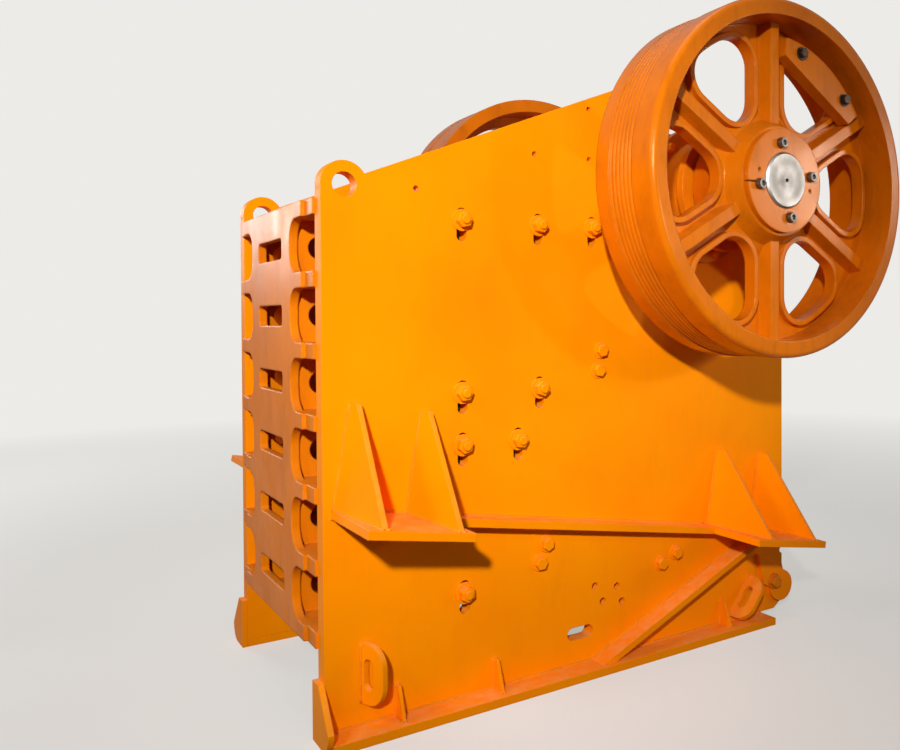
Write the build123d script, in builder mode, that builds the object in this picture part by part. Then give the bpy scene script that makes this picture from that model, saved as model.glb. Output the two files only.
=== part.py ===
"""Single-toggle jaw crusher with a plate frame, a ribbed cast front and two spoked flywheels.

Millimetres. The origin is on the ground, in the middle of the machine's length and width. +X runs
from the cast front to the rear, +Z is up, and the crusher is symmetric about the XZ plane, but for
the belt grooves of the right flywheel. "right" is the -Y side and "left" the +Y side, as seen by
someone who stands in front of the cast front and faces it. Distances along the machine are measured
from the front edge of the side plates.
"""
import os
from math import asin, atan, cos, degrees, radians, sin, sqrt, tan

from build123d import *

# Side plates
plate_length = 2500
plate_thickness = 70
frame_width = 1270
front_height = 2105
top_slope = 22.8
peak_setback = 1020
shoulder_setback = 810
shoulder_height = 2517
rear_chamfer = 110
bottom_cut = 62
lug_radius = 92
lug_hole_radius = 48
lug_rise = 24
slot_length = 140
slot_width = 46
floor_slot_x = 1169
floor_slot_z = 175
floor_slot_length = 140
floor_slot_width = 58
small_hole_radius = 12
rhomb_hole_radius = 17

# Rear ear of the side plate, with a thicker pad on its outside
ear_setback = 28
ear_z = 160
ear_radius = 82
ear_slope = 30
ear_pad_length = 176
ear_pad_slant = 43
ear_pad_thickness = 24
ear_bolt_radius = 24
ear_bolt_from_tip = 70
ear_notch_radius = 17
ear_notch_z = 345

# Base flanges under the side plates
flange_thickness = 36
flange_overhang = 115
flange_end_gap = 170
end_plate_thickness = 24
end_plate_height = 230
end_plate_shoulder = 80
end_plate_corner = 75
gusset_places = (281, 720, 2037)
small_gusset_height = 126
small_gusset_reach = 80
small_gusset_top = 30
small_gusset_thickness = 14

# Pull lugs low on the side plates
pull_lug_reach = 126
pull_lug_thickness = 24
pull_lug_corner = 85
pull_slot_length = 122
pull_slot_width = 52
pull_slot_reach = 44
front_lug_x = 142
front_lug_z = 240
front_lug_length = 236
front_lug_skew = 20
rear_lug_setback = 322
rear_lug_z = 158
rear_lug_length = 240
rear_lug_tilt = 51

# Diagonal ribs that rise from the flange to the rear foot bracket
rib_slope = 23
rib_start = 1306
rib_reach = 92
rib_plate_thickness = 30

# Cast front frame
casting_bottom = 345
casting_top = 2079
casting_proud = 24
casting_depth = 330
rib_count = 7
rib_thickness = 62
rib_setback = 14
band_width = 920
band_scallop = 160
band_thickness = 35
scallop_corner = 85
pocket_width = 375
pocket_height = 88
pocket_corner = 20
back_wall = 70
web_spacing = 580
web_thickness = 45
core_hole_radius = 48
core_hole_x = 104

# Crushing chamber
die_base_thickness = 70
tooth_height = 30
tooth_count = 11
tooth_flat_share = 0.36
cheek_thickness = 40
die_side_gap = 5
mouth_setback = 556
mouth_z = 2060
throat_x = 640
throat_z = 430
cheek_split_z = 1200
cheek_gap = 5

# Eccentric shaft and its bearings
shaft_setback = 614
shaft_z = 2227
shaft_end_radius = 125
shaft_end_proud = 10
shaft_chamfer = 8
centre_hole_radius = 9
centre_hole_depth = 25
journal_radius = 150
eccentric_radius = 185
eccentric_throw = 16
eccentric_side_gap = 20
running_gap = 0.05
seat_gap = 0.3
plate_bore_radius = 250
housing_flange_radius = 335
housing_flange_thickness = 45
housing_barrel_radius = 262
housing_cover_radius = 290
housing_cover_thickness = 45
housing_reach = 225

# Flywheels
wheel_radius = 794
wheel_back = 244
wheel_width = 384
rim_thickness = 76
rim_edge_radius = 24
back_band = 91
groove_zone = 158
groove_zone_step = 3
belt_groove_count = 6
belt_groove_depth = 6
belt_groove_width = 11
hub_radius = 245
hub_front = 565
hub_flare_foot = 90
hub_flare_step = 40
web_back = 430
web_thickness_wheel = 35
spoke_count = 6
spoke_half_width = 95
ridge_width = 84
ridge_height = 62
ridge_draft = 14
lip_width = 24
lip_height = 30
window_margin = 53
window_inner_fillet = 120
window_outer_fillet = 110
ring_radius = 232
ring_thickness = 25
ring_slit = 6
ring_bolt_circle = 166
ring_bolt_radius = 24
ring_bolt_angle = 10
jack_hole_radius = 9
jack_hole_angle = -12
weight_margin = 62
weight_depth = 140
weight_thickness = 62
weight_width = 574
weight_chord = 508
weight_angle = 60

# Pitman and toggle
pitman_side_gap = 35
bearing_space = 70
barrel_wall = 75
jaw_wall = 90
pitman_rib_count = 4
pitman_rib_thickness = 60
toggle_seat_height = 180
toggle_block_share = 0.1
toggle_front_setback = 400
toggle_front_rise = 40
toggle_rear_z = 560
toggle_thickness = 60
toggle_side_gap = 115
seat_thickness = 60
wedge_thickness = 60
wedge_height = 300
wedge_taper = 18
rear_frame_setback = 600
rear_frame_depth = 330
rear_frame_bottom = 340
rear_frame_top = 870
rear_pocket_count = 4
rear_pocket_depth = 250
rear_pocket_margin = 55
rear_pocket_corner = 40
retraction_rod_radius = 22
retraction_rod_drop = 125
spring_outer_radius = 58
spring_length = 150
rod_nut_radius = 40
rod_nut_length = 45
rod_eye_length = 60

# Foot brackets and side strips
bracket_slope = 9.6
bracket_line_z = 887
bracket_reach = 395
bracket_thickness = 32
front_bracket_start = 34
front_bracket_length = 411
rear_bracket_setback = 575
rear_bracket_length = 470
front_gusset_offsets = (4, 296)
rear_gusset_offsets = (25, 331)
gusset_thickness = 22
front_gusset_height = 415
rear_gusset_height = 388
gusset_top = 50
gusset_setback = 15
front_gusset_skew = 8
rear_gusset_skew = 11
strip_reach = 88
strip_thickness = 34

half_width = frame_width / 2
inner_half = half_width - plate_thickness
shaft_x = plate_length - shaft_setback
front_x = -(shaft_x + wheel_radius - casting_proud) / 2
peak_x = plate_length - peak_setback
peak_z = front_height + peak_x * tan(radians(top_slope))
right_parts = {}
os.makedirs("parts", exist_ok=True)


def save(block, label):
    """Labels a finished piece and writes it to its own file."""
    block.part.label = label
    export_step(block.part, f"parts/{label}.step")


def across(distance):
    """A plane square to the Y axis that faces the right side, at a distance from the middle."""
    return Plane((front_x, -distance, 0), x_dir=(1, 0, 0), z_dir=(0, -1, 0))


def along(distance):
    """A plane square to the X axis that faces the rear, at a distance behind the front edge."""
    return Plane.YZ.offset(front_x + distance)


def outboard_along(distance):
    """A plane square to the X axis that faces the front. Its x runs outboard from the right plate."""
    return Plane((front_x + distance, -half_width, 0), x_dir=(0, -1, 0), z_dir=(-1, 0, 0))


def wheel_plane(distance):
    """A plane square to the shaft, centred on it, at a distance from the right side plate."""
    middle = (front_x + shaft_x, -half_width - distance, shaft_z)
    return Plane(middle, x_dir=(1, 0, 0), z_dir=(0, -1, 0))


# Section through the shaft: x is the distance outboard from the right side plate, y the radius
shaft_section = Plane((front_x + shaft_x, -half_width, shaft_z), x_dir=(0, -1, 0), z_dir=(-1, 0, 0))
shaft_axis = Axis((front_x + shaft_x, 0, shaft_z), (0, -1, 0))


def slope_z(x):
    """Height of the top of the sloping foot brackets and side strips."""
    return bracket_line_z - (x - front_bracket_start) * tan(radians(bracket_slope))


def slope_point(x, depth):
    """The point at a depth square below the sloping line, under its point at x."""
    slope = radians(bracket_slope)
    return (x - depth * sin(slope), slope_z(x) - depth * cos(slope))


# Side plate with its lifting lug, rear ear, bearing bore, bolt slots and small holes
cheek_slots = [(583, 2005), (953, 2004), (1240, 2009), (583, 1287), (957, 1288)]
cheek_slots += [(582, 1069), (847, 1070), (587, 450)]
small_holes = [(383, 2137), (936, 2335), (1226, 2570), (1227, 2341)]
rhomb_holes = [(1252, 373), (1378, 350), (1297, 294), (1407, 273)]
ear_x = plate_length - ear_setback
ear_side = ear_x + ear_radius * sin(radians(ear_slope))
ear_half_width = ear_radius * cos(radians(ear_slope))
ear_tangent = (ear_side, ear_z - ear_half_width)
ear_shoulder = (ear_side, ear_z + ear_half_width)
ear_top = (plate_length, ear_z + ear_radius / cos(radians(ear_slope)) + ear_notch_radius)
with BuildPart() as side_plate:
    with BuildSketch(across(inner_half)):
        with BuildLine():
            Polyline(
                (0, flange_thickness),
                (plate_length - bottom_cut, flange_thickness),
                ear_tangent,
                (ear_x, ear_z),
                ear_shoulder,
                ear_top,
                (plate_length, shoulder_height - rear_chamfer),
                (plate_length - rear_chamfer, shoulder_height),
                (plate_length - shoulder_setback, shoulder_height),
                (peak_x, peak_z),
                (0, front_height),
                close=True,
            )
        make_face()
        with Locations((lug_radius, front_height + lug_rise)):
            Circle(lug_radius)
        with Locations((ear_x, ear_z)):
            Circle(ear_radius)
        with Locations((lug_radius, front_height + lug_rise)):
            Circle(lug_hole_radius, mode=Mode.SUBTRACT)
        with Locations((plate_length, ear_notch_z)):
            Circle(ear_notch_radius, mode=Mode.SUBTRACT)
        with Locations((shaft_x, shaft_z)):
            Circle(plate_bore_radius, mode=Mode.SUBTRACT)
        with Locations(*cheek_slots):
            SlotOverall(slot_length, slot_width, rotation=90, mode=Mode.SUBTRACT)
        with Locations((floor_slot_x, floor_slot_z)):
            SlotOverall(floor_slot_length, floor_slot_width, mode=Mode.SUBTRACT)
        with Locations(*small_holes):
            Circle(small_hole_radius, mode=Mode.SUBTRACT)
        with Locations(*rhomb_holes):
            Circle(rhomb_hole_radius, mode=Mode.SUBTRACT)
    extrude(amount=plate_thickness)
    pad_top_x = ear_x - ear_pad_length
    pad_low_x = pad_top_x + ear_pad_slant
    with BuildSketch(across(half_width)):
        with BuildLine():
            Polyline(
                ear_tangent,
                ear_shoulder,
                (pad_top_x, ear_shoulder[1] + (ear_shoulder[0] - pad_top_x) * tan(radians(ear_slope))),
                (pad_low_x, ear_tangent[1] + (ear_tangent[0] - pad_low_x) * tan(radians(ear_slope))),
                close=True,
            )
        make_face()
        with Locations((ear_x, ear_z)):
            Circle(ear_radius)
    extrude(amount=ear_pad_thickness)
    bolt_x = ear_x - ear_bolt_from_tip * cos(radians(ear_slope))
    bolt_z = ear_z + ear_bolt_from_tip * sin(radians(ear_slope))
    with BuildSketch(across(inner_half)):
        with Locations((bolt_x, bolt_z)):
            Circle(ear_bolt_radius)
    extrude(amount=plate_thickness + ear_pad_thickness, mode=Mode.SUBTRACT)
right_parts["side_plate"] = side_plate

# Base flange: a flat bar under the side plate that stands out on the outside, with small gussets
with BuildPart() as base_flange:
    with BuildSketch(Plane.XY):
        with Locations((front_x, -inner_half)):
            Rectangle(
                plate_length - flange_end_gap,
                plate_thickness + flange_overhang,
                align=(Align.MIN, Align.MAX),
            )
    extrude(amount=flange_thickness)
    for x in gusset_places:
        with BuildSketch(outboard_along(x)):
            with BuildLine():
                Polyline(
                    (0, flange_thickness),
                    (small_gusset_reach, flange_thickness),
                    (small_gusset_top, flange_thickness + small_gusset_height),
                    (0, flange_thickness + small_gusset_height),
                    close=True,
                )
            make_face()
        extrude(amount=-small_gusset_thickness)
right_parts["base_flange"] = base_flange

# End plate across the front of the side plate and its flange, with a sloped outer edge
with BuildPart() as front_end_plate:
    with BuildSketch(outboard_along(0)):
        with BuildLine():
            Polyline(
                (-plate_thickness, 0),
                (flange_overhang, 0),
                (flange_overhang, end_plate_shoulder),
                (0, end_plate_height),
                (-plate_thickness, end_plate_height),
                close=True,
            )
        make_face()
        fillet(vertices().group_by(Axis.Y)[0].sort_by(Axis.X)[-1], radius=end_plate_corner)
    extrude(amount=end_plate_thickness)
right_parts["front_end_plate"] = front_end_plate


def pull_lug(plane, length):
    """A thick D-shaped lug with a long eye. It stands out from the side plate along a chord."""
    with BuildPart() as lug:
        with BuildSketch(plane):
            with Locations((pull_lug_reach / 2, 0)):
                Rectangle(pull_lug_reach, length)
            fillet(vertices().group_by(Axis.X)[-1], radius=pull_lug_corner)
            with Locations((pull_slot_reach, 0)):
                SlotOverall(pull_slot_length, pull_slot_width, rotation=90, mode=Mode.SUBTRACT)
        extrude(amount=-pull_lug_thickness)
        split(bisect_by=Plane.XZ.offset(half_width), keep=Keep.TOP)
    return lug


front_lug_middle = (front_x + front_lug_x, -half_width, front_lug_z)
front_lug_out = (sin(radians(front_lug_skew)), -cos(radians(front_lug_skew)), 0)
front_lug_front = (-cos(radians(front_lug_skew)), -sin(radians(front_lug_skew)), 0)
front_lug_plane = Plane(front_lug_middle, x_dir=front_lug_out, z_dir=front_lug_front)
right_parts["front_pull_lug"] = pull_lug(front_lug_plane, front_lug_length)
rear_lug_middle = (front_x + plate_length - rear_lug_setback, -half_width, rear_lug_z)
rear_lug_normal = (-sin(radians(rear_lug_tilt)), 0, cos(radians(rear_lug_tilt)))
rear_lug_plane = Plane(rear_lug_middle, x_dir=(0, -1, 0), z_dir=rear_lug_normal)
right_parts["rear_pull_lug"] = pull_lug(rear_lug_plane, rear_lug_length)


def foot_bracket(start, length, gusset_offsets, height, skew_angle):
    """A sloping foot plate with two upright gussets that stand a little skewed on it."""
    end = start + length
    slope = radians(bracket_slope)
    skew = radians(skew_angle)
    with BuildPart() as bracket:
        with BuildSketch(across(half_width)):
            with BuildLine():
                Polyline(
                    slope_point(start, 0),
                    slope_point(end, 0),
                    slope_point(end, bracket_thickness),
                    slope_point(start, bracket_thickness),
                    close=True,
                )
            make_face()
        extrude(amount=bracket_reach)
        for offset_x in gusset_offsets:
            x = start + offset_x
            outward = (sin(skew) * cos(slope), -cos(skew), -sin(skew) * sin(slope))
            backward = (cos(skew) * cos(slope), sin(skew), -cos(skew) * sin(slope))
            foot = (front_x + x, -half_width, slope_z(x))
            with BuildSketch(Plane(foot, x_dir=outward, z_dir=backward)):
                with BuildLine():
                    Polyline(
                        (0, 0),
                        ((bracket_reach - gusset_setback) / cos(skew), 0),
                        (gusset_top, -height),
                        (0, -height),
                        close=True,
                    )
                make_face()
            extrude(amount=gusset_thickness)
        split(bisect_by=Plane.XZ.offset(half_width), keep=Keep.TOP)
    return bracket


front_bracket_end = front_bracket_start + front_bracket_length
rear_bracket_start = plate_length - rear_bracket_setback
right_parts["front_foot_bracket"] = foot_bracket(
    front_bracket_start,
    front_bracket_length,
    front_gusset_offsets,
    front_gusset_height,
    front_gusset_skew,
)
right_parts["rear_foot_bracket"] = foot_bracket(
    rear_bracket_start,
    rear_bracket_length,
    rear_gusset_offsets,
    rear_gusset_height,
    rear_gusset_skew,
)

# Side strip between the two foot brackets
with BuildPart() as side_strip:
    with BuildSketch(across(half_width)):
        with BuildLine():
            Polyline(
                slope_point(front_bracket_end, 0),
                slope_point(rear_bracket_start, 0),
                slope_point(rear_bracket_start, strip_thickness),
                slope_point(front_bracket_end, strip_thickness),
                close=True,
            )
        make_face()
    extrude(amount=strip_reach)
right_parts["side_strip"] = side_strip

# Diagonal rib from the flange up to the underside of the rear foot bracket
tan_rib = tan(radians(rib_slope))
tan_bracket = tan(radians(bracket_slope))
rib_rise = rib_plate_thickness / cos(radians(rib_slope))
bracket_depth = bracket_thickness / cos(radians(bracket_slope))
bracket_under = bracket_line_z + front_bracket_start * tan_bracket - bracket_depth


def rib_meets_bracket(lift):
    """Where a line of the rib, a lift above its underside, reaches the bracket's underside."""
    x = (bracket_under - flange_thickness - lift + rib_start * tan_rib) / (tan_rib + tan_bracket)
    return (x, bracket_under - x * tan_bracket)


with BuildPart() as diagonal_rib:
    with BuildSketch(across(half_width)):
        with BuildLine():
            Polyline(
                (rib_start, flange_thickness),
                rib_meets_bracket(0),
                rib_meets_bracket(rib_rise),
                (rib_start - rib_rise / tan_rib, flange_thickness),
                close=True,
            )
        make_face()
    extrude(amount=rib_reach)
right_parts["diagonal_rib"] = diagonal_rib

# Front frame casting: a scalloped band in front, seven ribs across, two webs and a back wall
casting_middle = (casting_top + casting_bottom) / 2
casting_height = casting_top - casting_bottom
rib_pitch = (casting_height - rib_thickness) / (rib_count - 1)
rib_centres = [casting_bottom + rib_thickness / 2 + rib_pitch * i for i in range(rib_count)]
bay_centres = [centre + rib_pitch / 2 for centre in rib_centres[:-1]]
bay_height = rib_pitch - rib_thickness
with BuildPart() as front_frame:
    with BuildSketch(along(casting_depth - back_wall)):
        with Locations((0, casting_middle)):
            Rectangle(2 * inner_half, casting_height)
    extrude(amount=back_wall)
    with BuildSketch(along(-casting_proud)):
        with Locations((0, casting_middle)):
            Rectangle(band_width, casting_height)
        with Locations(*[(0, z) for z in bay_centres]):
            RectangleRounded(pocket_width, pocket_height, pocket_corner, mode=Mode.SUBTRACT)
        with Locations(*[(side * band_width / 2, z) for z in bay_centres for side in (-1, 1)]):
            RectangleRounded(2 * band_scallop, bay_height, scallop_corner, mode=Mode.SUBTRACT)
    extrude(amount=band_thickness)
    with BuildSketch(along(rib_setback - casting_proud)):
        with Locations(*[(0, z) for z in rib_centres]):
            Rectangle(2 * inner_half, rib_thickness)
    extrude(amount=casting_depth - back_wall + casting_proud - rib_setback)
    with BuildSketch(along(band_thickness - casting_proud)):
        with Locations(*[(side * (web_spacing - web_thickness) / 2, casting_middle) for side in (-1, 1)]):
            Rectangle(web_thickness, casting_height)
    extrude(amount=casting_depth - back_wall - band_thickness + casting_proud)
    with BuildSketch(across(-band_width / 2)):
        with Locations(*[(core_hole_x, z) for z in bay_centres]):
            Circle(core_hole_radius)
    extrude(amount=band_width, mode=Mode.SUBTRACT)
save(front_frame, "front_frame")

# Jaw dies with upright teeth. The teeth of one die face the gaps of the other
mouth_x = shaft_x - mouth_setback
die_half = inner_half - cheek_thickness - die_side_gap
die_thickness = die_base_thickness + tooth_height
jaw_angle = atan((mouth_x - throat_x) / (mouth_z - throat_z))
jaw_length = sqrt((mouth_x - throat_x) ** 2 + (mouth_z - throat_z) ** 2)
tooth_pitch = 2 * die_half / tooth_count


def die_outline(shift):
    """Across the die's width: x goes into the die from its tooth tips, y is across the machine."""
    points = [(die_thickness, -die_half), (tooth_height, -die_half)]
    flat = tooth_pitch * tooth_flat_share / 2
    root = tooth_pitch / 2 - flat
    for i in range(tooth_count + int(2 * shift)):
        middle = -die_half + tooth_pitch * (i + 0.5 - shift)
        tooth = [
            (tooth_height, middle - root),
            (0, middle - flat),
            (0, middle + flat),
            (tooth_height, middle + root),
        ]
        points += [point for point in tooth if -die_half < point[1] < die_half]
    return points + [(tooth_height, die_half), (die_thickness, die_half)]


fixed_die_tips = (front_x + casting_depth + die_thickness, 0, throat_z)
fixed_die_plane = Plane(fixed_die_tips, x_dir=(-1, 0, 0), z_dir=(0, 0, 1))
with BuildPart() as fixed_die:
    with BuildSketch(fixed_die_plane):
        with BuildLine():
            Polyline(*die_outline(0), close=True)
        make_face()
    extrude(amount=casting_top - throat_z)
save(fixed_die, "fixed_jaw_die")

jaw_up = (sin(jaw_angle), 0, cos(jaw_angle))
jaw_back = (cos(jaw_angle), 0, -sin(jaw_angle))
with BuildPart() as moving_die:
    with BuildSketch(Plane((front_x + throat_x, 0, throat_z), x_dir=jaw_back, z_dir=jaw_up)):
        with BuildLine():
            Polyline(*die_outline(0.5), close=True)
        make_face()
    extrude(amount=jaw_length)
save(moving_die, "moving_jaw_die")


def jaw_x(z):
    """The moving jaw's crushing face at a height."""
    return throat_x + (z - throat_z) * tan(jaw_angle)


def cheek(low, high):
    """A wear plate on the side plate between the two jaws, from one height to another."""
    face_x = casting_depth + die_thickness
    with BuildPart() as plate:
        with BuildSketch(across(inner_half - cheek_thickness)):
            with BuildLine():
                Polyline(
                    (face_x, low),
                    (jaw_x(low), low),
                    (jaw_x(high), high),
                    (face_x, high),
                    close=True,
                )
            make_face()
        extrude(amount=cheek_thickness)
    return plate


right_parts["upper_cheek_plate"] = cheek(cheek_split_z + cheek_gap, mouth_z)
right_parts["lower_cheek_plate"] = cheek(throat_z, cheek_split_z)

# Pitman: a bearing barrel, a jaw wall behind the moving die, ribs and a block for the toggle seat
pitman_half = inner_half - pitman_side_gap
bore_radius = eccentric_radius + bearing_space
barrel_radius = bore_radius + barrel_wall
toggle_front = (throat_x + toggle_front_setback, throat_z + toggle_front_rise)
seat_face = toggle_front[0] - seat_thickness
seat_half = toggle_seat_height / 2


def behind_die(z_share, depth):
    """A point behind the moving die's tooth tips, at a share of the jaw's length."""
    x = throat_x + z_share * (mouth_x - throat_x) + (die_thickness + depth) * cos(jaw_angle)
    z = throat_z + z_share * (mouth_z - throat_z) - (die_thickness + depth) * sin(jaw_angle)
    return (x, z)


with BuildPart() as pitman:
    with BuildSketch(across(pitman_half)):
        with BuildLine():
            Polyline(
                behind_die(0, 0),
                behind_die(1, 0),
                behind_die(1, jaw_wall),
                behind_die(0, jaw_wall),
                close=True,
            )
        make_face()
        with BuildLine():
            Polyline(
                behind_die(0, jaw_wall / 2),
                behind_die(toggle_block_share, jaw_wall / 2),
                (seat_face, toggle_front[1] + seat_half),
                (seat_face, toggle_front[1] - seat_half),
                (seat_face - rod_eye_length, toggle_front[1] - seat_half),
                close=True,
            )
        make_face()
        with Locations((shaft_x, shaft_z)):
            Circle(barrel_radius)
        with Locations((shaft_x, shaft_z)):
            Circle(bore_radius, mode=Mode.SUBTRACT)
    extrude(amount=-2 * pitman_half)
    for i in range(pitman_rib_count):
        rib_side = pitman_half - i * (2 * pitman_half - pitman_rib_thickness) / (pitman_rib_count - 1)
        with BuildSketch(across(rib_side)):
            with BuildLine():
                Polyline(
                    behind_die(0, jaw_wall / 2),
                    behind_die(1, jaw_wall / 2),
                    (shaft_x - bore_radius * cos(jaw_angle), shaft_z + bore_radius * sin(jaw_angle)),
                    (shaft_x, shaft_z - barrel_radius),
                    (seat_face, toggle_front[1] + seat_half),
                    (seat_face, toggle_front[1]),
                    close=True,
                )
            make_face()
            with Locations((shaft_x, shaft_z)):
                Circle(bore_radius, mode=Mode.SUBTRACT)
        extrude(amount=-pitman_rib_thickness)
save(pitman, "pitman")

# Toggle plate with round edges, and the two grooved seats that it rocks in
rear_frame_x = plate_length - rear_frame_setback
toggle_rear = (rear_frame_x - 2 * wedge_thickness - seat_thickness, toggle_rear_z)
toggle_half = inner_half - toggle_side_gap
toggle_radius = toggle_thickness / 2
with BuildPart() as toggle_plate:
    with BuildSketch(across(toggle_half)):
        toggle_tilt = atan((toggle_rear[1] - toggle_front[1]) / (toggle_rear[0] - toggle_front[0]))
        toggle_length = (toggle_rear[0] - toggle_front[0]) / cos(toggle_tilt)
        middle = ((toggle_front[0] + toggle_rear[0]) / 2, (toggle_front[1] + toggle_rear[1]) / 2)
        with Locations(middle):
            SlotCenterToCenter(toggle_length, toggle_thickness, rotation=degrees(toggle_tilt))
    extrude(amount=-2 * toggle_half)
save(toggle_plate, "toggle_plate")


def toggle_seat(near_x, groove_x, z):
    """A bar with a round groove for the edge of the toggle plate."""
    with BuildPart() as seat:
        with BuildSketch(across(toggle_half)):
            with Locations((near_x, z)):
                Rectangle(seat_thickness, toggle_seat_height, align=(Align.MIN, Align.CENTER))
            with Locations((groove_x, z)):
                Circle(toggle_radius + seat_gap, mode=Mode.SUBTRACT)
        extrude(amount=-2 * toggle_half)
    return seat


save(toggle_seat(seat_face, toggle_front[0], toggle_front[1]), "pitman_toggle_seat")
save(toggle_seat(toggle_rear[0], toggle_rear[0], toggle_rear[1]), "rear_toggle_seat")

# Setting wedges between the rear toggle seat and the rear frame
wedge_back = toggle_rear[0] + seat_thickness
wedge_split = wedge_back + wedge_thickness
wedge_low = toggle_rear[1] - wedge_height / 2
wedge_high = toggle_rear[1] + wedge_height / 2


def wedge(face_x):
    """One of two equal wedges that meet on a sloping line. Its flat face is at face_x."""
    with BuildPart() as block:
        with BuildSketch(across(toggle_half)):
            with BuildLine():
                Polyline(
                    (face_x, wedge_low),
                    (wedge_split - wedge_taper, wedge_low),
                    (wedge_split + wedge_taper, wedge_high),
                    (face_x, wedge_high),
                    close=True,
                )
            make_face()
        extrude(amount=-2 * toggle_half)
    return block


save(wedge(wedge_back), "front_setting_wedge")
save(wedge(rear_frame_x), "rear_setting_wedge")

# Rear frame: a cross casting with pockets in its back, and a hanging lug for the retraction rod
rod_z = rear_frame_bottom - retraction_rod_drop / 2
rod_lug_x = rear_frame_x + rear_frame_depth
with BuildPart() as rear_frame:
    with BuildSketch(across(inner_half)):
        with Locations((rear_frame_x, rear_frame_bottom)):
            Rectangle(rear_frame_depth, rear_frame_top - rear_frame_bottom, align=(Align.MIN, Align.MIN))
    extrude(amount=-2 * inner_half)
    pocket_pitch = (2 * inner_half - rear_pocket_margin) / rear_pocket_count
    with BuildSketch(along(rod_lug_x)):
        with Locations((0, (rear_frame_top + rear_frame_bottom) / 2)):
            with GridLocations(pocket_pitch, 0, rear_pocket_count, 1):
                RectangleRounded(
                    pocket_pitch - rear_pocket_margin,
                    rear_frame_top - rear_frame_bottom - 2 * rear_pocket_margin,
                    rear_pocket_corner,
                )
    extrude(amount=-rear_pocket_depth, mode=Mode.SUBTRACT)
    with BuildSketch(along(rod_lug_x - rear_pocket_margin)):
        with Locations((0, rear_frame_bottom)):
            Rectangle(4 * rod_nut_radius, retraction_rod_drop, align=(Align.CENTER, Align.MAX))
        with Locations((0, rod_z)):
            Circle(retraction_rod_radius + seat_gap, mode=Mode.SUBTRACT)
    extrude(amount=rear_pocket_margin)
save(rear_frame, "rear_frame")

# Retraction rod under the toggle, from the pitman to the spring behind the rear frame
rod_start = seat_face
rod_end = rod_lug_x + spring_length + rod_nut_length
with BuildPart() as retraction_rod:
    with BuildSketch(along(rod_start)):
        with Locations((0, rod_z)):
            Circle(retraction_rod_radius)
    extrude(amount=rod_end + rod_nut_length - rod_start)
    with BuildSketch(along(rod_lug_x + spring_length)):
        with Locations((0, rod_z)):
            RegularPolygon(rod_nut_radius, side_count=6)
    extrude(amount=rod_nut_length)
    with BuildSketch(along(rod_start)):
        with Locations((0, rod_z)):
            Rectangle(
                2 * rod_nut_radius,
                toggle_front[1] - seat_half - rod_z,
                align=(Align.CENTER, Align.MIN),
            )
            Circle(rod_nut_radius)
    extrude(amount=-rod_eye_length)
save(retraction_rod, "retraction_rod")

with BuildPart() as retraction_spring:
    with BuildSketch(along(rod_lug_x)):
        with Locations((0, rod_z)):
            Circle(spring_outer_radius)
            Circle(retraction_rod_radius + seat_gap, mode=Mode.SUBTRACT)
    extrude(amount=spring_length)
save(retraction_spring, "retraction_spring")

# Bearing housing: a spigot in the side plate's bore, a bolted flange, a barrel and an end cover
cover_start = housing_reach - housing_cover_thickness
with BuildPart() as bearing_housing:
    with BuildSketch(shaft_section):
        with BuildLine():
            Polyline(
                (-plate_thickness, journal_radius + running_gap),
                (-plate_thickness, plate_bore_radius - seat_gap),
                (0, plate_bore_radius - seat_gap),
                (0, housing_flange_radius),
                (housing_flange_thickness, housing_flange_radius),
                (housing_flange_thickness, housing_barrel_radius),
                (cover_start, housing_barrel_radius),
                (cover_start, housing_cover_radius),
                (housing_reach, housing_cover_radius),
                (housing_reach, journal_radius + running_gap),
                close=True,
            )
        make_face()
    revolve(axis=shaft_axis)
right_parts["bearing_housing"] = bearing_housing

# Eccentric shaft: journals in the housings, plain ends for the wheels, eccentric between
shaft_reach = hub_front + ring_thickness + shaft_end_proud
eccentric_x = shaft_x - eccentric_throw * cos(radians(weight_angle))
eccentric_z = shaft_z - eccentric_throw * sin(radians(weight_angle))
eccentric_half = pitman_half - eccentric_side_gap
with BuildPart() as eccentric_shaft:
    with BuildSketch(across(half_width + shaft_reach)):
        with Locations((shaft_x, shaft_z)):
            Circle(shaft_end_radius)
    extrude(amount=-2 * (half_width + shaft_reach))
    chamfer(edges().filter_by(GeomType.CIRCLE), length=shaft_chamfer)
    with BuildSketch(across(half_width + housing_reach)):
        with Locations((shaft_x, shaft_z)):
            Circle(journal_radius)
    extrude(amount=-2 * (half_width + housing_reach))
    with BuildSketch(across(eccentric_half)):
        with Locations((eccentric_x, eccentric_z)):
            Circle(eccentric_radius)
    extrude(amount=-2 * eccentric_half)
    for end in (-1, 1):
        with BuildSketch(across(end * (half_width + shaft_reach))):
            with Locations((shaft_x, shaft_z)):
                Circle(centre_hole_radius)
        extrude(amount=-end * centre_hole_depth, mode=Mode.SUBTRACT)
save(eccentric_shaft, "eccentric_shaft")

# Window between two spokes, about its own middle line: sides along the spokes and a round outer side
rim_inner_radius = wheel_radius - rim_thickness
window_radius = rim_inner_radius - window_margin
window_tip = spoke_half_width / sin(radians(180 / spoke_count))
corner_angle = radians(180 / spoke_count) - asin(spoke_half_width / window_radius)
window_corner = (window_radius * cos(corner_angle), window_radius * sin(corner_angle))
with BuildSketch() as window:
    with BuildLine():
        Line((window_tip, 0), window_corner)
        ThreePointArc(window_corner, (window_radius, 0), (window_corner[0], -window_corner[1]))
        Line((window_corner[0], -window_corner[1]), (window_tip, 0))
    make_face()
    fillet(vertices().sort_by(Axis.X)[1:], radius=window_outer_fillet)
    fillet(vertices().sort_by(Axis.X)[0], radius=window_inner_fillet)
with BuildSketch() as window_lip:
    add(window.sketch)
    offset(amount=lip_width)
    add(window.sketch, mode=Mode.SUBTRACT)

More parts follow.
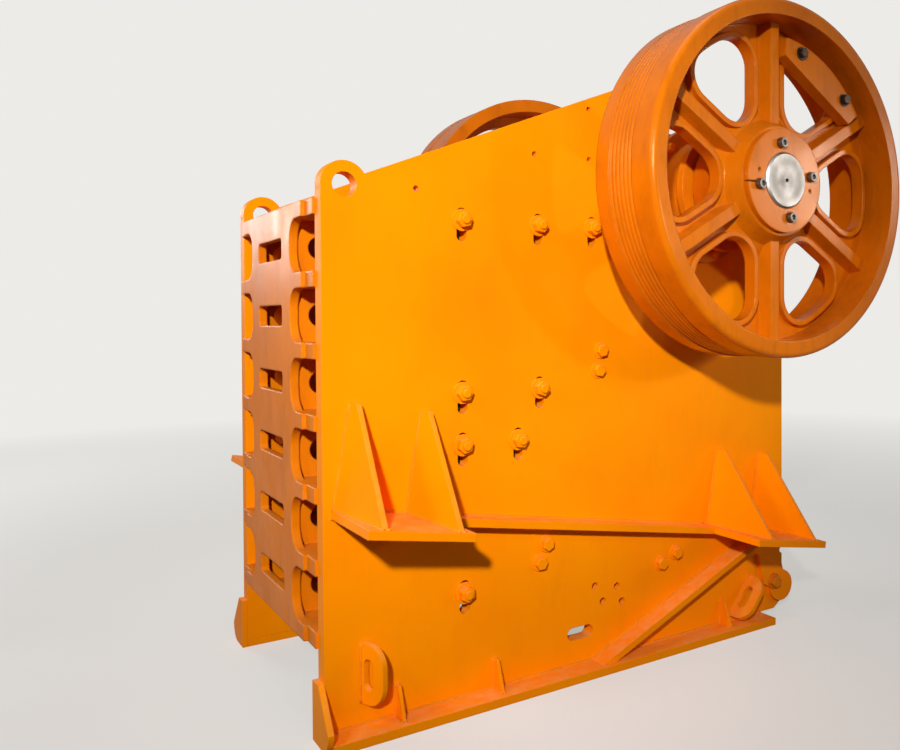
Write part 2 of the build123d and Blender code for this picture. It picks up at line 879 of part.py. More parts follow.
wheel_front = wheel_back + wheel_width
web_front = web_back + web_thickness_wheel
zone_start = wheel_back + back_band
zone_radius = wheel_radius - groove_zone_step


def rim_outline(grooves):
    """Half section of the rim: x is the distance outboard, y the radius."""
    points = [
        (wheel_back, rim_inner_radius),
        (wheel_back, wheel_radius),
        (zone_start, wheel_radius),
        (zone_start, zone_radius),
    ]
    for i in range(grooves):
        middle = zone_start + groove_zone / grooves * (i + 0.5)
        points += [
            (middle - belt_groove_width / 2, zone_radius),
            (middle, zone_radius - belt_groove_depth),
            (middle + belt_groove_width / 2, zone_radius),
        ]
    points += [
        (zone_start + groove_zone, zone_radius),
        (zone_start + groove_zone, wheel_radius),
        (wheel_front, wheel_radius),
        (wheel_front, rim_inner_radius),
    ]
    return points


def flywheel(grooves):
    """Rim, hub with a flared foot, web with windows, lips round them and a ridge on each spoke."""
    with BuildPart() as wheel:
        with BuildSketch(shaft_section):
            with BuildLine():
                Polyline(*rim_outline(grooves), close=True)
            make_face()
            fillet(vertices().sort_by_distance((wheel_front, wheel_radius))[0], radius=rim_edge_radius)
            with BuildLine():
                Polyline(
                    (wheel_back, 0),
                    (wheel_back, hub_radius),
                    (web_back, hub_radius + hub_flare_step),
                    (web_back, rim_inner_radius),
                    (web_front, rim_inner_radius),
                    (web_front, hub_radius + hub_flare_foot),
                    (web_front + lip_height, hub_radius + hub_flare_step),
                    (hub_front, hub_radius),
                    (hub_front, 0),
                    close=True,
                )
            make_face()
        revolve(axis=shaft_axis)
        with BuildSketch(wheel_plane(web_back)):
            with PolarLocations(0, spoke_count):
                add(window.sketch)
        extrude(amount=hub_front - web_back, mode=Mode.SUBTRACT)
        with BuildSketch(wheel_plane(web_front)):
            with PolarLocations(0, spoke_count):
                add(window_lip.sketch)
        extrude(amount=lip_height)
        with BuildSketch(wheel_plane(web_front)):
            ridge_middle = (rim_inner_radius + hub_radius) / 2
            with PolarLocations(ridge_middle, spoke_count, start_angle=180 / spoke_count):
                Rectangle(rim_inner_radius - hub_radius + hub_flare_step, ridge_width)
        extrude(amount=ridge_height, taper=ridge_draft)
        with BuildSketch(wheel_plane(wheel_back)):
            Circle(shaft_end_radius + running_gap)
        extrude(amount=wheel_width, mode=Mode.SUBTRACT)
    return wheel


belt_wheel = flywheel(belt_groove_count)
plain_wheel = flywheel(0)
save(belt_wheel, "flywheel_right")
with BuildPart() as flywheel_left:
    mirror(plain_wheel.part, about=Plane.XZ)
save(flywheel_left, "flywheel_left")

# Ring that locks the flywheel's hub on the shaft, slit on one side, with bolt and jack screw holes
with BuildPart() as hub_lock_ring:
    with BuildSketch(wheel_plane(hub_front)):
        Circle(ring_radius)
        Circle(shaft_end_radius + running_gap, mode=Mode.SUBTRACT)
        with PolarLocations(ring_bolt_circle, 4, start_angle=ring_bolt_angle):
            Circle(ring_bolt_radius, mode=Mode.SUBTRACT)
        with PolarLocations(ring_bolt_circle, 2, start_angle=jack_hole_angle):
            Circle(jack_hole_radius, mode=Mode.SUBTRACT)
        with Locations((-ring_radius, -ring_radius * sin(radians(ring_bolt_angle)) / 2)):
            Rectangle(2 * (ring_radius - shaft_end_radius), ring_slit, mode=Mode.SUBTRACT)
    extrude(amount=ring_thickness)
right_parts["hub_lock_ring"] = hub_lock_ring

# Counterweight bolted in front of the window between the spokes at twelve and two o'clock
weight_radius = rim_inner_radius - weight_margin
weight_half = weight_width / 2
weight_corner = sqrt(weight_radius ** 2 - weight_half ** 2)
weight_turn_cos = cos(radians(weight_angle))
weight_turn_sin = sin(radians(weight_angle))


def weight_point(reach, side):
    """A point at a reach along the weight's own middle line, to one side of it."""
    x = reach * weight_turn_cos - side * weight_turn_sin
    y = reach * weight_turn_sin + side * weight_turn_cos
    return (x, y)


with BuildPart() as counterweight:
    with BuildSketch(wheel_plane(web_front + lip_height)):
        with BuildLine():
            ThreePointArc(
                weight_point(weight_corner, -weight_half),
                weight_point(weight_radius, 0),
                weight_point(weight_corner, weight_half),
            )
            Polyline(
                weight_point(weight_corner, weight_half),
                weight_point(weight_radius - weight_depth, weight_chord / 2),
                weight_point(weight_radius - weight_depth, -weight_chord / 2),
                weight_point(weight_corner, -weight_half),
            )
        make_face()
    extrude(amount=weight_thickness)
right_parts["counterweight"] = counterweight

# The left side mirrors the right side
for name, block in right_parts.items():
    save(block, f"{name}_right")
    with BuildPart() as mirrored:
        mirror(block.part, about=Plane.XZ)
    save(mirrored, f"{name}_left")
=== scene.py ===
# Jaw crusher: paint, bolts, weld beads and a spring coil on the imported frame. Run in Blender 4.5.
import bpy
from math import cos, pi, radians, sin, tan
from mathutils import Matrix, Vector


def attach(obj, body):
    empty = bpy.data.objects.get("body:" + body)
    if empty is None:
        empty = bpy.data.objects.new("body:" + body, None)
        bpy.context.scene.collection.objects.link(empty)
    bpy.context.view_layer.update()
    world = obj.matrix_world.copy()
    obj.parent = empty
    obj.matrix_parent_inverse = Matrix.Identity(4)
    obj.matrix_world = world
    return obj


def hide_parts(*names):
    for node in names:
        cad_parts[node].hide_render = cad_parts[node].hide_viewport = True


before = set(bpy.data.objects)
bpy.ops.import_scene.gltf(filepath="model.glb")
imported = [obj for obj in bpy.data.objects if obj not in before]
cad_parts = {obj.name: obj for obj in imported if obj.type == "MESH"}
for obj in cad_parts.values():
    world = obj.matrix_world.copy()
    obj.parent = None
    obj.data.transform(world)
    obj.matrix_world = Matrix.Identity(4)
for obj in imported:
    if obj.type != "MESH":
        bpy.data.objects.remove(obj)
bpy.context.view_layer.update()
print("frame loaded:", len(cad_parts), "nodes")

# Where the main lines of the machine lie, in metres, as the frame has them
plan = {
    "frontX": -1.328,          # front edge of the side plates
    "plateFaceY": 0.635,       # outer face of a side plate, from the middle
    "shaftX": 0.558,
    "shaftZ": 2.227,
    "ringFaceY": 1.225,        # outer face of the hub lock ring
    "weightFaceY": 1.192,      # outer face of the counterweight
    "rodZ": 0.2775,            # retraction rod under the toggle
    "springX": 0.902,          # rear face of the lug that the spring pushes on
}

mm = 0.001
mmPerMetre = 1000


def alongPlate(x):
    # from millimetres behind the plate's front edge to metres in the frame
    return plan["frontX"] + x / mmPerMetre


def hexColour(code):
    # an sRGB hex code as the linear colour that nodes take
    channels = [int(code[i:i + 2], 16) / 255 for i in (0, 2, 4)]
    linear = [c / 12.92 if c <= 0.04045 else ((c + 0.055) / 1.055) ** 2.4 for c in channels]
    return (*linear, 1.0)


def addNode(tree, kind, settings=None, links=None):
    # settings are for sockets and options, links come from other nodes' outputs
    node = tree.nodes.new(kind)
    for name, value in (settings or {}).items():
        if isinstance(name, int) or name in node.inputs:
            node.inputs[name].default_value = value
        else:
            setattr(node, name, value)
    for name, source in (links or {}).items():
        tree.links.new(source, node.inputs[name])
    return node


def newMaterial(name):
    material = bpy.data.materials.new(name)
    material.use_nodes = True
    material.node_tree.nodes.clear()
    return material, material.node_tree


# The noise behind each pattern, and between which of its values a colour or gloss starts to show
patterns = {
    "mottle": {"detail": 3.0, "rough": 0.55, "shows": (0.38, 0.66)},
    "streak": {"detail": 5.0, "rough": 0.60, "shows": (0.50, 0.72)},
    "dust": {"detail": 5.0, "rough": 0.65, "shows": (0.40, 0.70)},
    "chipAndHighlight": {"detail": 4.0, "rough": 0.55, "shows": (0.42, 0.62)},
    "sheen": {"detail": 3.0, "rough": 0.55, "shows": (0.30, 0.70)},
    "rust": {"detail": 6.0, "rough": 0.65, "shows": (0.48, 0.72)},
    "stain": {"detail": 5.0, "rough": 0.60, "shows": (0.45, 0.75)},
    "peel": {"detail": 2.0, "rough": 0.55, "strength": 0.35},
    "grit": {"detail": 3.0, "rough": 0.55, "strength": 0.50},
}


def patches(tree, place, pattern, sizeMm, least=0.0, most=1.0):
    # blotches about sizeMm across, with least between them and most inside
    look = patterns[pattern]
    texture = {
        "Scale": mmPerMetre / sizeMm, "Detail": look["detail"], "Roughness": look["rough"],
    }
    noise = addNode(tree, "ShaderNodeTexNoise", texture, {"Vector": place})
    start, stop = look["shows"]
    span = {"From Min": start, "From Max": stop, "To Min": least, "To Max": most}
    spread = addNode(tree, "ShaderNodeMapRange", span, {"Value": noise.outputs["Fac"]})
    return spread.outputs["Result"]


def coverPatches(tree, place, under, over, pattern, sizeMm, least=0.0, most=1.0, where=None):
    # lays a colour over the one under it in patches, and with a mask only there
    amount = patches(tree, place, pattern, sizeMm, least, most)
    if where is not None:
        product = {"operation": "MULTIPLY"}
        masked = addNode(tree, "ShaderNodeMath", product, {0: where, 1: amount})
        amount = masked.outputs["Value"]
    settings, links = {"Color2": hexColour(over)}, {"Fac": amount}
    if isinstance(under, str):
        settings["Color1"] = hexColour(under)
    else:
        links["Color1"] = under
    return addNode(tree, "ShaderNodeMixRGB", settings, links).outputs["Color"]


def roughen(tree, place, pattern, sizeMm, depthMm, normal=None):
    # bumps about sizeMm across, on a rounded normal where there is one
    look = patterns[pattern]
    texture = {
        "Scale": mmPerMetre / sizeMm, "Detail": look["detail"], "Roughness": look["rough"],
    }
    noise = addNode(tree, "ShaderNodeTexNoise", texture, {"Vector": place})
    links = {"Height": noise.outputs["Fac"]}
    if normal is not None:
        links["Normal"] = normal
    relief = {"Strength": look["strength"], "Distance": depthMm / mmPerMetre}
    return addNode(tree, "ShaderNodeBump", relief, links).outputs["Normal"]


# How all enamels age: streaks run down, dust lies on top, edges rub off and are painted paler,
# partly as a painted highlight
ageing = {
    "streakStretch": (1.0, 1.0, 0.33),
    "dustFacing": {"From Min": 0.35, "From Max": 0.95},      # how far a face has to look up
    "dustLeast": 0.10, "dustMost": 0.75,
    "edgeAgreement": {"From Min": 0.99, "From Max": 0.86},   # rounded normal against the face's own
    "chipAndHighlightShare": 0.7,                  # size of the rubbed patches on edges, which also carry a painted highlight, as a share of dustMm
    "sheenShare": 0.4,                 # size of the sheen's patches, as a share of mottleMm
    "bevelSamples": 4, "ior": 1.45,
}

# Two-pack satin machine enamel, sprayed: even and deep in colour, a little orange peel, dusty where
# faces look up, paler on edges where the spray is thin, and that pale edge is a painted highlight
# too
plateEnamel = {
    "colour": "FF9200", "secondCoat": "FA8600", "dust": "F2A860", "edge": "F29A48",
    "mottleMm": 900, "dustMm": 60, "peelMm": 14, "peelDepthMm": 0.35,
    "roughness": (0.44, 0.56), "edgeMm": 4, "edgeWearAndHighlight": 0.35, "gleam": "FFA347", "gleamLevel": 0.30,
    "grime": "C87412", "grimeLevel": 0.1, "grimeMm": 90,
}

# The same enamel over sand-cast steel: the sand's grit shows through, edges rub paler with a
# painted highlight, more gloss
castingEnamel = {
    "colour": "E27A06", "secondCoat": "D67004", "dust": "C87430", "edge": "E58A3C",
    "mottleMm": 420, "dustMm": 45, "peelMm": 16, "peelDepthMm": 0.9,
    "roughness": (0.34, 0.48), "edgeMm": 10, "edgeWearAndHighlight": 0.6, "gleam": "FFB070", "gleamLevel": 0.30,
    "grime": "A85C1C", "grimeLevel": 0.30, "grimeMm": 60,
}

# Enamel on the flywheels, lock rings and counterweights: a shade deeper, smoother and glossier, so
# that it mirrors the lamps
wheelEnamel = {
    "colour": "DA7004", "secondCoat": "CC6603", "dust": "B05C1C", "edge": "E68B45",
    "mottleMm": 380, "dustMm": 45, "peelMm": 18, "peelDepthMm": 0.7,
    "roughness": (0.17, 0.27), "edgeMm": 9, "edgeWearAndHighlight": 0.25, "gleam": "FFC48C", "gleamLevel": 0.42,
    "grime": "93480C", "grimeLevel": 0.3, "grimeMm": 60,
}

# Enamel over weld beads: thick, glossy and lumpy, a shade deeper than the plates
weldEnamel = {
    "colour": "F08A12", "secondCoat": "E47E0E", "dust": "D9863E", "edge": "F2A055",
    "mottleMm": 60, "dustMm": 30, "peelMm": 7, "peelDepthMm": 1.2,
    "roughness": (0.38, 0.52), "edgeMm": 3, "edgeWearAndHighlight": 0.3, "gleam": "FFC48A", "gleamLevel": 0.40,
    "grime": "B06A1C", "grimeLevel": 0.3, "grimeMm": 30,
}


def enamel(name, look):
    material, tree = newMaterial(name)
    place = addNode(tree, "ShaderNodeTexCoord").outputs["Object"]
    paint = coverPatches(
        tree, place, look["colour"], look["secondCoat"], "mottle", look["mottleMm"],
    )

    # grime runs down in streaks, longer than they are wide
    stretch = {"Scale": ageing["streakStretch"]}
    drawn = addNode(tree, "ShaderNodeMapping", stretch, {"Vector": place}).outputs["Vector"]
    paint = coverPatches(
        tree, drawn, paint, look["grime"], "streak", look["grimeMm"], most=look["grimeLevel"],
    )

    # dust lies only on faces that look up, in blotches
    facing = addNode(tree, "ShaderNodeNewGeometry").outputs["Normal"]
    slope = addNode(tree, "ShaderNodeSeparateXYZ", links={"Vector": facing}).outputs["Z"]
    upward = addNode(tree, "ShaderNodeMapRange", ageing["dustFacing"], {"Value": slope})
    paint = coverPatches(
        tree, place, paint, look["dust"], "dust", look["dustMm"],
        ageing["dustLeast"], ageing["dustMost"], upward.outputs["Result"],
    )

    # rubbed edges painted paler, wear and a painted highlight together: where the rounded normal
    # leaves the face's own
    rounding = {"samples": ageing["bevelSamples"], "Radius": look["edgeMm"] / mmPerMetre}
    rounded = addNode(tree, "ShaderNodeBevel", rounding).outputs["Normal"]
    compare = {"operation": "DOT_PRODUCT"}
    agreement = addNode(tree, "ShaderNodeVectorMath", compare, {0: rounded, 1: facing})
    links = {"Value": agreement.outputs["Value"]}
    edge = addNode(tree, "ShaderNodeMapRange", ageing["edgeAgreement"], links)
    paint = coverPatches(
        tree, place, paint, look["edge"], "chipAndHighlight", look["dustMm"] * ageing["chipAndHighlightShare"],
        most=look["edgeWearAndHighlight"], where=edge.outputs["Result"],
    )

    sheenMm = look["mottleMm"] * ageing["sheenShare"]
    gloss = {
        "IOR": ageing["ior"], "Specular Tint": hexColour(look["gleam"]),
        "Specular IOR Level": look["gleamLevel"],
    }
    links = {
        "Base Color": paint,
        "Roughness": patches(tree, place, "sheen", sheenMm, *look["roughness"]),
        "Normal": roughen(tree, place, "peel", look["peelMm"], look["peelDepthMm"], rounded),
    }
    shader = addNode(tree, "ShaderNodeBsdfPrincipled", gloss, links)
    addNode(tree, "ShaderNodeOutputMaterial", links={"Surface": shader.outputs["BSDF"]})
    return material


# Bright turned steel: the lathe leaves fine rings round the shaft's axis, with a thin oil film
turnedSteel = {
    "colour": "B0A8A0", "stain": "7A7268", "stainMm": 90, "stainShare": 0.7,
    "ringMm": 56.549, "ringDepthMm": 0.35, "ringWobble": 0.4,   # drawn coarse, so that they show
    "ringShade": 0.45, "ringStrength": 0.5, "anisotropic": 0.6, "roughness": (0.36, 0.48),
}
waveRadians = 20   # Blender's ring texture turns this much in a metre at scale 1


def turned(name, look):
    material, tree = newMaterial(name)
    place = addNode(tree, "ShaderNodeTexCoord").outputs["Object"]
    toAxis = {"Location": (-plan["shaftX"], 0, -plan["shaftZ"])}
    centred = addNode(tree, "ShaderNodeMapping", toAxis, {"Vector": place}).outputs["Vector"]
    wave = {
        "wave_type": "RINGS", "rings_direction": "Y", "Distortion": look["ringWobble"],
        "Scale": 2 * pi * mmPerMetre / look["ringMm"] / waveRadians,
    }
    rings = addNode(tree, "ShaderNodeTexWave", wave, {"Vector": centred}).outputs["Fac"]
    shade = addNode(
        tree, "ShaderNodeMapRange", {"To Max": look["ringShade"]}, {"Value": rings},
    ).outputs["Result"]
    tones = {"Color1": hexColour(look["colour"]), "Color2": hexColour(look["stain"])}
    bright = addNode(tree, "ShaderNodeMixRGB", tones, {"Fac": shade}).outputs["Color"]
    relief = {"Strength": look["ringStrength"], "Distance": look["ringDepthMm"] / mmPerMetre}
    turning = {"operation": "CROSS_PRODUCT", 1: (0, 1, 0)}   # the way round the shaft's axis
    metal = {"Metallic": 1.0, "Anisotropic": look["anisotropic"]}
    links = {
        "Base Color": coverPatches(
            tree, place, bright, look["stain"], "stain", look["stainMm"], most=look["stainShare"],
        ),
        "Roughness": patches(tree, place, "sheen", look["stainMm"], *look["roughness"]),
        "Normal": addNode(tree, "ShaderNodeBump", relief, {"Height": rings}).outputs["Normal"],
        "Tangent": addNode(
            tree, "ShaderNodeVectorMath", turning, {0: centred},
        ).outputs["Vector"],
    }
    shader = addNode(tree, "ShaderNodeBsdfPrincipled", metal, links)
    addNode(tree, "ShaderNodeOutputMaterial", links={"Surface": shader.outputs["BSDF"]})
    return material


# Cast manganese steel, as dies and cheek plates come from the foundry: dark, grainy, a bit rusty
manganeseSteel = {
    "colour": "5B5650", "rust": "7A4F36", "gritMm": 5, "gritDepthMm": 0.8, "rustMm": 130,
    "roughness": (0.50, 0.72), "metallic": 0.75,
}

# Black-oxide screws and setting wedges, with old grease on them
blackOxide = {
    "colour": "4A413A", "rust": "6A4A33", "gritMm": 4, "gritDepthMm": 0.15, "rustMm": 22,
    "roughness": (0.32, 0.55), "metallic": 0.85,
}

# Zinc-plated screws, spring and rod: grey, slightly dull
zincPlate = {
    "colour": "7A756D", "rust": "5E5449", "gritMm": 6, "gritDepthMm": 0.1, "rustMm": 60,
    "roughness": (0.30, 0.48), "metallic": 0.9,
}

# How all bare steels rust
rusting = {
    "share": 0.8,        # how much of the steel's colour the thickest rust hides
    "sheenShare": 0.5,   # size of the sheen's patches, as a share of rustMm
}


def bareSteel(name, look):
    material, tree = newMaterial(name)
    place = addNode(tree, "ShaderNodeTexCoord").outputs["Object"]
    sheenMm = look["rustMm"] * rusting["sheenShare"]
    links = {
        "Base Color": coverPatches(
            tree, place, look["colour"], look["rust"], "rust", look["rustMm"],
            most=rusting["share"],
        ),
        "Roughness": patches(tree, place, "sheen", sheenMm, *look["roughness"]),
        "Normal": roughen(tree, place, "grit", look["gritMm"], look["gritDepthMm"]),
    }
    shader = addNode(tree, "ShaderNodeBsdfPrincipled", {"Metallic": look["metallic"]}, links)
    addNode(tree, "ShaderNodeOutputMaterial", links={"Surface": shader.outputs["BSDF"]})
    return material


paints = {
    "plate": enamel("sprayed_plate_enamel", plateEnamel),
    "casting": enamel("enamel_over_sand_casting", castingEnamel),
    "wheel": enamel("thick_enamel_on_flywheel", wheelEnamel),
    "weld": enamel("enamel_over_weld", weldEnamel),
    "shaft": turned("turned_shaft_steel", turnedSteel),
    "manganese": bareSteel("cast_manganese_steel", manganeseSteel),
    "screw": bareSteel("black_oxide_steel", blackOxide),
    "zinc": bareSteel("zinc_plated_steel", zincPlate),
}

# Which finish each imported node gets, by the start of its name. The rest get the plates' enamel.
finishes = {
    "front_frame": "casting", "rear_frame": "casting", "bearing_housing": "casting",
    "pitman": "casting", "toggle_plate": "casting",
    "flywheel": "wheel", "hub_lock_ring": "wheel", "counterweight": "wheel",
    "fixed_jaw_die": "manganese", "moving_jaw_die": "manganese",
    "upper_cheek": "manganese", "lower_cheek": "manganese", "rear_toggle_seat": "manganese",
    "front_setting_wedge": "screw", "rear_setting_wedge": "screw",
    "eccentric_shaft": "shaft", "retraction": "zinc",
}

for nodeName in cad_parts:
    matches = [finish for start, finish in finishes.items() if nodeName.startswith(start)]
    for slot in bpy.data.objects[nodeName].material_slots:
        slot.material = paints[matches[0] if matches else "plate"]
print("finishes given to the packed nodes")


def startFresh():
    if bpy.context.mode != "OBJECT":
        bpy.ops.object.mode_set(mode="OBJECT")
    bpy.ops.object.select_all(action="DESELECT")


def selectOnly(pieces):
    startFresh()
    for piece in pieces:
        piece.select_set(True)
    bpy.context.view_layer.objects.active = pieces[0]


def settle(piece):
    # puts the piece's place into its mesh
    selectOnly([piece])
    bpy.ops.object.transform_apply(location=True, rotation=True, scale=True)


def joinPieces(parts, name):
    selectOnly(parts)
    if len(parts) > 1:
        bpy.ops.object.join()
    joined = bpy.context.view_layer.objects.active
    joined.name = name
    joined.data.name = name
    settle(joined)
    return joined


def bevelEdges(piece, width, segments=2, limit=40):
    # rounds edges where two faces meet at more than the limit, in degrees
    modifier = piece.modifiers.new("Bevel", "BEVEL")
    modifier.width = width
    modifier.segments = segments
    modifier.limit_method = "ANGLE"
    modifier.angle_limit = radians(limit)
    selectOnly([piece])
    bpy.ops.object.modifier_apply(modifier=modifier.name)


def dress(piece, body, material):
    piece.data.materials.clear()
    piece.data.materials.append(material)
    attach(piece, body)


def addDisc(radius, height, base, sides):
    # a disc or prism that stands on the XZ plane and grows towards -Y, from base outwards
    startFresh()
    bpy.ops.mesh.primitive_cylinder_add(
        vertices=sides, radius=radius, depth=height,
        location=(0, -base - height / 2, 0), rotation=(pi / 2, 0, 0),
    )
    piece = bpy.context.object
    settle(piece)
    return piece


# What all bolts and screws share, lengths in mm
fastener = {
    "washerSides": 48, "washerEdge": 1.4, "hexSides": 6, "headEdge": 1.6, "sink": 1,
    "topRim": 0.13, "topRise": 0.06,             # shares of the head's radius
    "threadSides": 24, "threadEdge": 3,
    "screwSides": 36, "screwEdge": 1.5, "screwSink": 20, "socketDepth": 12,
    "firstTurn": 17, "nextTurn": 23,             # degrees, so that no two stand alike
}


def editFront(piece):
    # opens the piece for editing, with only the face that looks outwards selected
    bpy.ops.object.mode_set(mode="EDIT")
    bpy.ops.mesh.select_mode(type="FACE")
    bpy.ops.mesh.select_all(action="DESELECT")
    bpy.ops.object.mode_set(mode="OBJECT")
    outwards = 0.9
    for face in piece.data.polygons:
        face.select = -face.normal.y > outwards
    bpy.ops.object.mode_set(mode="EDIT")


def hexFastener(look):
    # washer, hex head or nut with a raised top, and the thread's end where there is one
    sink = fastener["sink"] * mm
    washerThick, headRadius = look["washerThick"] * mm, look["headRadius"] * mm
    washer = addDisc(look["washerRadius"] * mm, washerThick, -sink, fastener["washerSides"])
    bevelEdges(washer, fastener["washerEdge"] * mm)
    head = addDisc(headRadius, look["headHeight"] * mm, washerThick - sink, fastener["hexSides"])
    editFront(head)
    bpy.ops.mesh.inset(thickness=headRadius * fastener["topRim"])
    bpy.ops.transform.translate(value=(0, -headRadius * fastener["topRise"], 0))
    bpy.ops.object.mode_set(mode="OBJECT")
    bevelEdges(head, fastener["headEdge"] * mm)
    parts = [washer, head]
    if "threadRadius" in look:
        top = washerThick + look["headHeight"] * mm
        reach = look["threadReach"] * mm
        thread = addDisc(look["threadRadius"] * mm, reach, top, fastener["threadSides"])
        bevelEdges(thread, fastener["threadEdge"] * mm, segments=1)
        parts.append(thread)
    return joinPieces(parts, "fastener")


def capScrew(look):
    # round head with a round socket
    sides = fastener["screwSides"]
    sink = fastener["screwSink"] * mm
    head = addDisc(look["headRadius"] * mm, look["headHeight"] * mm, -sink, sides)
    editFront(head)
    bpy.ops.mesh.inset(thickness=(look["headRadius"] - look["socketRadius"]) * mm)
    inwards = {"value": (0, fastener["socketDepth"] * mm, 0)}
    bpy.ops.mesh.extrude_region_move(TRANSFORM_OT_translate=inwards)
    bpy.ops.object.mode_set(mode="OBJECT")
    bevelEdges(head, fastener["screwEdge"] * mm)
    return head


def placeCopies(master, name, places, left):
    # one copy of the master at each place, turned a little differently, joined as one row
    copies = []
    for number, (x, y, z) in enumerate(places):
        selectOnly([master])
        bpy.ops.object.duplicate(linked=False)
        copy = bpy.context.object
        turn = radians(fastener["firstTurn"] + fastener["nextTurn"] * number)
        copy.matrix_world = (
            Matrix.Translation((x, y if left else -y, z))
            @ Matrix.Rotation(pi if left else 0.0, 4, "Z") @ Matrix.Rotation(turn, 4, "Y")
        )
        copies.append(copy)
    return joinPieces(copies, name)


# Nuts and washers over the slots of the cheek plate bolts, in mm. Their places are x from the
# plate's front edge, and height.
cheekNut = {
    "washerRadius": 46, "washerThick": 9, "headRadius": 34, "headHeight": 30,
    "threadRadius": 19, "threadReach": 12,
}
cheekPlaces = (
    (583, 2023), (953, 2022), (1240, 2027), (582, 1305),
    (957, 1306), (582, 1087), (847, 1088), (587, 468),
)

# Bolts without slots, in three pairs down the plate
pairBolt = {"washerRadius": 38, "washerThick": 7, "headRadius": 30, "headHeight": 22}
pairPlaces = ((1287, 1465), (1271, 1374), (988, 613), (952, 533), (1643, 415), (1738, 454))

# The bolt through the ear at the plate's rear corner, on the pad
earBolt = {"washerRadius": 44, "washerThick": 8, "headRadius": 33, "headHeight": 24}
earPlace = (2411, 195)
earPadThick = 24

# Cap screws of the hub lock ring, as radius and angle from the shaft
ringScrew = {"headRadius": 22, "headHeight": 45, "socketRadius": 11}
ringPlaces = tuple((166, angle) for angle in (10, 100, 190, 280))

# Bolts that hold the counterweight, as radius and angle from the shaft
weightBolt = {"washerRadius": 31, "washerThick": 6, "headRadius": 24, "headHeight": 19}
weightPlaces = ((614, 76.6), (614, 44.2))

# Ring of bolts on the flange of the bearing housing, which stands out from the plate
housingBolt = {"washerRadius": 25, "washerThick": 5, "headRadius": 20, "headHeight": 16}
housingCount = 12
housingPlaces = tuple((300, 360 / housingCount * (i + 0.5)) for i in range(housingCount))
housingReach = 45


def onPlate(places, reach=0):
    face = plan["plateFaceY"] + reach / mmPerMetre
    return [(alongPlate(x), face, z / mmPerMetre) for x, z in places]


def aroundShaft(places, y):
    return [(
        plan["shaftX"] + radius / mmPerMetre * cos(radians(angle)), y,
        plan["shaftZ"] + radius / mmPerMetre * sin(radians(angle)),
    ) for radius, angle in places]


housingFace = plan["plateFaceY"] + housingReach / mmPerMetre
rows = (
    # name, maker, sizes, places on the left side, body, slot, paint
    ("cheek_plate_nuts", hexFastener, cheekNut, onPlate(cheekPlaces),
     "frame", "orange_paint", "plate"),
    ("chamber_bolts", hexFastener, pairBolt, onPlate(pairPlaces),
     "frame", "orange_paint", "plate"),
    ("ear_bolt", hexFastener, earBolt, onPlate([earPlace], earPadThick),
     "frame", "orange_paint", "casting"),
    ("housing_bolts", hexFastener, housingBolt, aroundShaft(housingPlaces, housingFace),
     "frame", "orange_paint", "plate"),
    ("counterweight_bolts", hexFastener, weightBolt, aroundShaft(weightPlaces, plan["weightFaceY"]),
     "rotor", "machined_steel", "screw"),
    ("hub_ring_screws", capScrew, ringScrew, aroundShaft(ringPlaces, plan["ringFaceY"]),
     "rotor", "machined_steel", "zinc"),
)
masters = {name: maker(look) for name, maker, look, *rest in rows}
for left in (False, True):
    for name, maker, look, places, body, slotName, paint in rows:
        row = placeCopies(masters[name], name + ("_left" if left else "_right"), places, left)
        dress(row, body, paints[paint])
selectOnly(list(masters.values()))
bpy.ops.object.delete()
print("bolts made")


# Lines along which the plates are welded, in mm: x from the front edge, reach from the plate,
# and height
weldPlan = {
    "beadRadius": 8, "thinRadius": 6, "beadSides": 8, "stepMm": 14, "fewestSteps": 2,
    "wobbleMm": 0.9, "firstSeed": 11,
    "bracketSlope": 9.6, "lineZ": 887, "lineX": 34,
    "gussetThick": 22, "gussetFoot": 380, "gussetTip": 6,
    # x, skew, height
    "gussets": ((38, 8, 415), (330, 8, 415), (1950, 11, 388), (2256, 11, 388)),
    # start, end, depth
    "brackets": ((34, 445, 32), (445, 1925, 34), (1925, 2395, 32)),
    "flangeTop": 36, "flangeStart": 4, "flangeEnd": 2330,
    "smallGussets": (281, 720, 2037), "smallFoot": 80, "smallHeight": 126, "smallThick": 14,
    "ribFoot": 1306, "ribTop": 2322, "ribSlope": 23, "ribThick": 30, "ribEndCut": 1.7,
    # x, height, length, angle, thickness
    "lugs": ((142, 240, 236, 90, 25.5), (2178, 158, 240, 51, 24)),
}


def slopeZ(x):
    return weldPlan["lineZ"] - (x - weldPlan["lineX"]) * tan(radians(weldPlan["bracketSlope"]))


